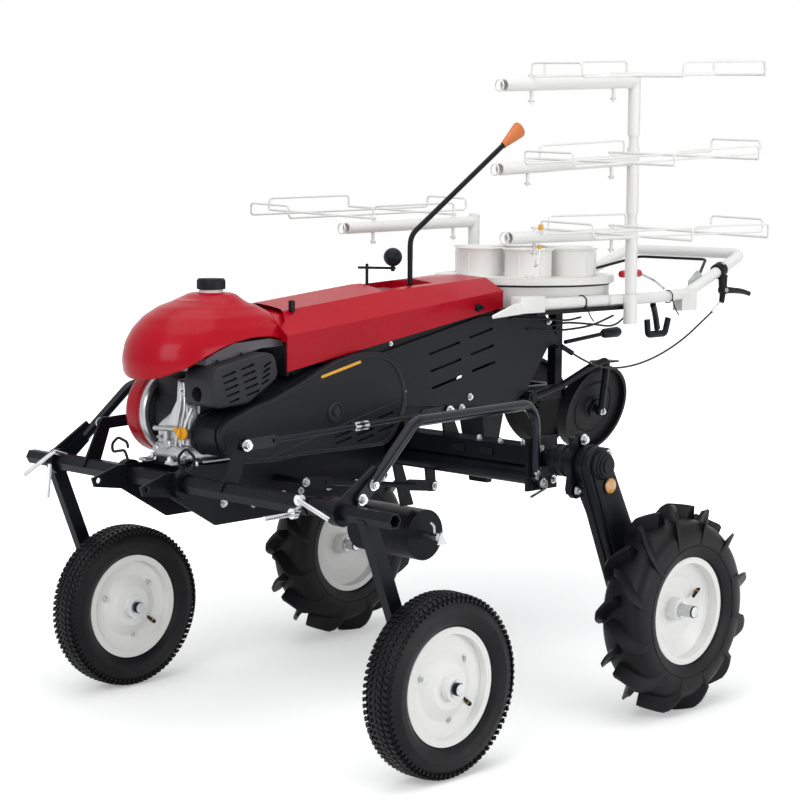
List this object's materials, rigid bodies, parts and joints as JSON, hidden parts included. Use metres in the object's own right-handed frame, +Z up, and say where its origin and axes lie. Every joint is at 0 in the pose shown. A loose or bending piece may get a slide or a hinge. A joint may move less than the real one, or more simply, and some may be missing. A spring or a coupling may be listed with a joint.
{
  "type": "walk-behind vegetable transplanter",
  "caption": "Self-propelled walk-behind vegetable transplanter with a seedling turntable, swinging tray racks, arched handle and engine on tall wheeled legs.",
  "frame": {"origin": "centre of the bounding box, on the floor under the wheels", "axes": "+X forward (away from the handle), +Y to the left of the machine, +Z up"},
  "size_m": [1.8466, 1.3912, 1.36],
  "materials": {
    "frame_paint": "satin dark paint",
    "pipe_paint": "gloss blue-black paint",
    "red_paint": "gloss red paint",
    "dark_cover": "fine-grained dark moulding",
    "white_paint": "white powder coat",
    "tyre_rubber": "black tyre rubber",
    "soft_rubber": "black rubber",
    "engine_metal": "cast aluminium",
    "grey_plastic": "grey moulding",
    "white_plastic": "white moulding",
    "cable_sleeve": "black cable sleeve"
  },
  "bodies": {
    "chassis": {"belt_cover": "dark_cover", "cable_guide": "dark_cover", "chain_case_left": "frame_paint", "chain_case_right": "frame_paint", "chassis_rails": "frame_paint", "clutch_cable": "cable_sleeve", "clutch_lever": "dark_cover", "depth_lever": "dark_cover", "drive_housing_left": "frame_paint", "drive_housing_right": "frame_paint", "drop_chute": "dark_cover", "engine_block": "engine_metal", "front_beam": "frame_paint", "front_frame": "frame_paint", "front_leg_left": "frame_paint", "front_leg_right": "frame_paint", "fuel_cap": "dark_cover", "fuel_tank": "grey_plastic", "guard_pipe_left": "pipe_paint", "guard_pipe_right": "pipe_paint", "handle_frame": "white_paint", "hood": "red_paint", "lever_panel": "dark_cover", "lift_rod": "frame_paint", "link_rod_left": "pipe_paint", "link_rod_right": "pipe_paint", "main_lever": "dark_cover", "planting_beak": "frame_paint", "press_arm_left": "frame_paint", "press_arm_right": "frame_paint", "rear_axle_pipe": "frame_paint", "rear_channel": "frame_paint", "recoil_cover": "red_paint", "roller_hanger": "frame_paint", "side_panel_left": "dark_cover", "side_panel_right": "dark_cover", "silencer_cover": "dark_cover", "tank_cover": "red_paint", "transmission_case": "frame_paint", "tray_post_left": "white_paint", "tray_post_right": "white_paint", "turntable_ring": "white_plastic", "turntable_stand": "frame_paint"},
    "front_left_wheel": {"front_tyre_left": "tyre_rubber", "front_rim_left": "white_paint"},
    "front_right_wheel": {"front_tyre_right": "tyre_rubber", "front_rim_right": "white_paint"},
    "rear_left_wheel": {"rear_tyre_left": "tyre_rubber", "rear_rim_left": "white_paint"},
    "rear_right_wheel": {"rear_tyre_right": "tyre_rubber", "rear_rim_right": "white_paint"},
    "roller": {"depth_roller": "frame_paint"},
    "left_press_wheel": {"press_wheel_left": "soft_rubber"},
    "right_press_wheel": {"press_wheel_right": "soft_rubber"},
    "turntable": {"turntable_disc": "white_plastic", "seedling_cups": "white_plastic"},
    "top_tray": {"tray_arm_top": "white_paint"},
    "middle_tray": {"tray_arm_middle": "white_paint"},
    "lower_tray": {"tray_arm_lower": "white_paint"},
    "right_tray": {"tray_arm_right": "white_paint"}
  },
  "joints": [
    {"name": "front_left_roll", "type": "hinge", "parent": "chassis", "child": "front_left_wheel", "pos_m": [0.6953, 0.62656, 0.1733], "axis": [0, 1, 0], "continuous": true},
    {"name": "rear_left_roll", "type": "hinge", "parent": "chassis", "child": "rear_left_wheel", "pos_m": [0.0163, 0.64056, 0.2153], "axis": [0, 1, 0], "continuous": true},
    {"name": "front_right_roll", "type": "hinge", "parent": "chassis", "child": "front_right_wheel", "pos_m": [0.6953, -0.31244, 0.1733], "axis": [0, 1, 0], "continuous": true},
    {"name": "rear_right_roll", "type": "hinge", "parent": "chassis", "child": "rear_right_wheel", "pos_m": [0.0163, -0.35544, 0.2153], "axis": [0, 1, 0], "continuous": true},
    {"name": "roller_roll", "type": "hinge", "parent": "chassis", "child": "roller", "pos_m": [0.1453, -0.04344, 0.305], "axis": [0, 1, 0], "continuous": true},
    {"name": "left_press_roll", "type": "hinge", "parent": "chassis", "child": "left_press_wheel", "pos_m": [-0.4347, 0.04656, 0.545], "axis": [0, 0.9659, -0.2588], "continuous": true},
    {"name": "right_press_roll", "type": "hinge", "parent": "chassis", "child": "right_press_wheel", "pos_m": [-0.4347, -0.13344, 0.545], "axis": [0, 0.9659, 0.2588], "continuous": true},
    {"name": "turntable_turn", "type": "hinge", "parent": "chassis", "child": "turntable", "pos_m": [-0.2847, -0.04344, 0.866], "axis": [0, 0, 1], "continuous": true},
    {"name": "top_tray_swing", "type": "hinge", "parent": "chassis", "child": "top_tray", "pos_m": [-0.3747, 0.20456, 1.311], "axis": [0, 0, 1], "range_deg": [0, 75]},
    {"name": "middle_tray_swing", "type": "hinge", "parent": "chassis", "child": "middle_tray", "pos_m": [-0.3747, 0.20456, 1.135], "axis": [0, 0, 1], "range_deg": [0, 75]},
    {"name": "lower_tray_swing", "type": "hinge", "parent": "chassis", "child": "lower_tray", "pos_m": [-0.3747, 0.20456, 0.966], "axis": [0, 0, 1], "range_deg": [0, 75]},
    {"name": "right_tray_swing", "type": "hinge", "parent": "chassis", "child": "right_tray", "pos_m": [-0.3747, -0.29144, 0.982], "axis": [0, 0, 1], "range_deg": [-75, 0]}
  ]
}
